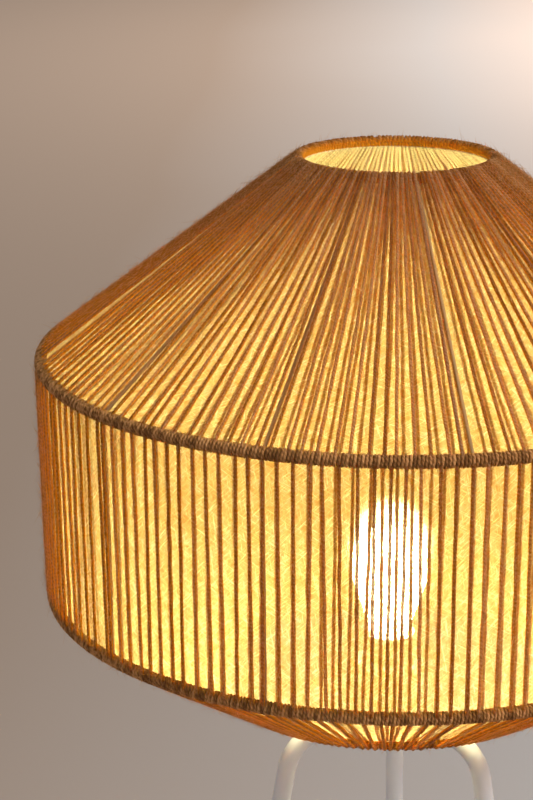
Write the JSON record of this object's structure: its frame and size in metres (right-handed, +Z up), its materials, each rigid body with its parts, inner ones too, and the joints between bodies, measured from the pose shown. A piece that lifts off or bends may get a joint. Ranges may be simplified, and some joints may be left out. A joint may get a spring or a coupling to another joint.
{
  "type": "tripod floor lamp",
  "caption": "Tripod floor lamp with bent tube legs and a wide lit shade of natural cord wound over a wire frame and a translucent paper liner.",
  "frame": {"origin": "on the floor, under the middle of the lamp", "axes": "+Z up; -Y is the front, between the two front legs; +X to the right seen from the front"},
  "size_m": [0.5224, 0.5224, 1.396],
  "materials": {
    "stand_paint": "satin off-white powder coat",
    "foot_rubber": "matt",
    "zinc_steel": "zinc plated",
    "bush_nylon": "matt",
    "holder_plastic": "satin",
    "insert_ceramic": "glazed",
    "contact_brass": "plain",
    "bulb_glass": "frosted, lit warm",
    "bulb_metal": "plain",
    "bulb_black": "black glass",
    "stem_glass": "clear",
    "filament": "yellow coated, lit",
    "frame_wire": "satin",
    "binding_cord": "twisted jute",
    "outer_cord": "twisted jute",
    "inner_cord": "twisted jute",
    "liner_paper": "translucent fibrous"
  },
  "bodies": {
    "stand": {"hub": "stand_paint", "front_left_leg": "stand_paint", "front_right_leg": "stand_paint", "rear_leg": "stand_paint", "front_left_foot": "foot_rubber", "front_right_foot": "foot_rubber", "rear_foot": "foot_rubber", "leg_screws": "zinc_steel", "stem_nipple": "zinc_steel", "nipple_nut": "zinc_steel", "nipple_washer": "zinc_steel", "seat_washer": "zinc_steel", "cable_bush": "bush_nylon", "holder_cap": "holder_plastic", "holder_skirt": "holder_plastic", "holder_insert": "insert_ceramic", "screw_shell": "contact_brass", "centre_contact": "contact_brass", "terminal_screws": "contact_brass"},
    "shade": {"neck_ring": "frame_wire", "wide_ring": "frame_wire", "side_ring": "frame_wire", "base_ring": "frame_wire", "cone_ribs": "frame_wire", "side_ribs": "frame_wire", "under_ribs": "frame_wire", "fitter_spider": "frame_wire", "neck_binding": "binding_cord", "wide_binding": "binding_cord", "side_binding": "binding_cord", "base_binding": "binding_cord", "cone_outer_cords": "outer_cord", "side_outer_cords": "outer_cord", "under_outer_cords": "outer_cord", "cone_inner_cords": "inner_cord", "side_inner_cords": "inner_cord", "under_inner_cords": "inner_cord", "cone_liner": "liner_paper", "side_liner": "liner_paper", "under_liner": "liner_paper"},
    "shade_ring": {"shade_ring": "holder_plastic"},
    "bulb": {"bulb_glass": "bulb_glass", "bulb_cap": "bulb_metal", "bulb_insulator": "bulb_black", "bulb_contact": "bulb_metal", "bulb_stem": "stem_glass", "bulb_filaments": "filament"}
  },
  "joints": [
    {"name": "shade_turn", "type": "hinge", "parent": "stand", "child": "shade", "pos_m": [0, 0, 0.999], "axis": [0, 0, 1], "continuous": true},
    {"name": "ring_turn", "type": "hinge", "parent": "stand", "child": "shade_ring", "pos_m": [0, 0, 1.004], "axis": [0, 0, 1], "range_deg": [0, 1440]},
    {"name": "bulb_turn", "type": "hinge", "parent": "stand", "child": "bulb", "pos_m": [0, 0, 1.02], "axis": [0, 0, 1], "range_deg": [0, 1980]}
  ]
}
